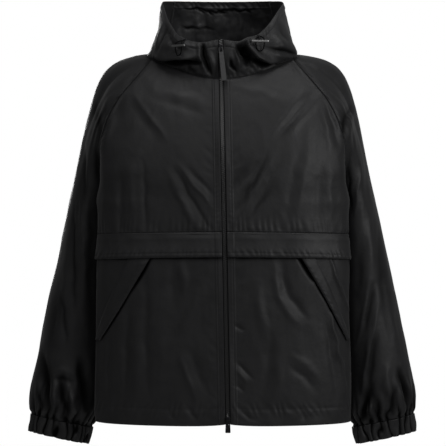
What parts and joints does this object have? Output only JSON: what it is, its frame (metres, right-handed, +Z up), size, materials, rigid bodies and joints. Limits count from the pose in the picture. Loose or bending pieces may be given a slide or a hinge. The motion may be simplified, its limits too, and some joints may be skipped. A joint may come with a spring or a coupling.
{
  "type": "hooded zip jacket",
  "caption": "Light hooded jacket, filled out as when worn: raglan sleeves, a storm flap across the chest, slanted pocket flaps, gathered cuffs and a two-way zip with pull tabs that swing.",
  "frame": {"origin": "middle of the neck at the height of the shoulders, where a wearer holds the jacket up", "axes": "+Z up, +X towards the wearer's left, -Y out of the jacket's front"},
  "size_m": [0.7634, 0.315, 0.8805],
  "materials": {
    "cloth_black": "light woven shell cloth with a soft sheen",
    "tape_black": "matt woven tape",
    "teeth_black": "moulded teeth",
    "slider_grey": "dark plated metal",
    "pull_grey": "satin grey",
    "bar_silver": "satin",
    "cord_black": "round woven cord"
  },
  "bodies": {
    "jacket": {"hood_side_left": "cloth_black", "hood_side_right": "cloth_black", "hood_centre": "cloth_black", "front_upper_left": "cloth_black", "front_upper_right": "cloth_black", "storm_flap_left": "cloth_black", "storm_flap_right": "cloth_black", "front_lower_left": "cloth_black", "front_lower_right": "cloth_black", "pocket_flap_left": "cloth_black", "pocket_flap_right": "cloth_black", "back": "cloth_black", "sleeve_left": "cloth_black", "sleeve_right": "cloth_black", "cuff_left": "cloth_black", "cuff_right": "cloth_black", "zip_tape_left": "tape_black", "zip_tape_right": "tape_black", "zip_chain": "teeth_black", "zip_slider_top": "slider_grey", "zip_slider_bottom": "slider_grey", "eyelet_left": "slider_grey", "eyelet_right": "slider_grey", "drawcord_left": "cord_black", "drawcord_right": "cord_black", "cord_bar_left": "bar_silver", "cord_bar_right": "bar_silver"},
    "pull_top": {"zip_pull_top": "pull_grey"},
    "pull_bottom": {"zip_pull_bottom": "pull_grey"}
  },
  "joints": [
    {"name": "pull_top_swing", "type": "hinge", "parent": "jacket", "child": "pull_top", "pos_m": [-0.00319, -0.11252, 0.01], "axis": [-1, 0, 0], "range_deg": [0, 150]},
    {"name": "pull_bottom_swing", "type": "hinge", "parent": "jacket", "child": "pull_bottom", "pos_m": [0.01027, -0.14535, -0.696], "axis": [-1, 0, 0], "range_deg": [0, 150]}
  ]
}
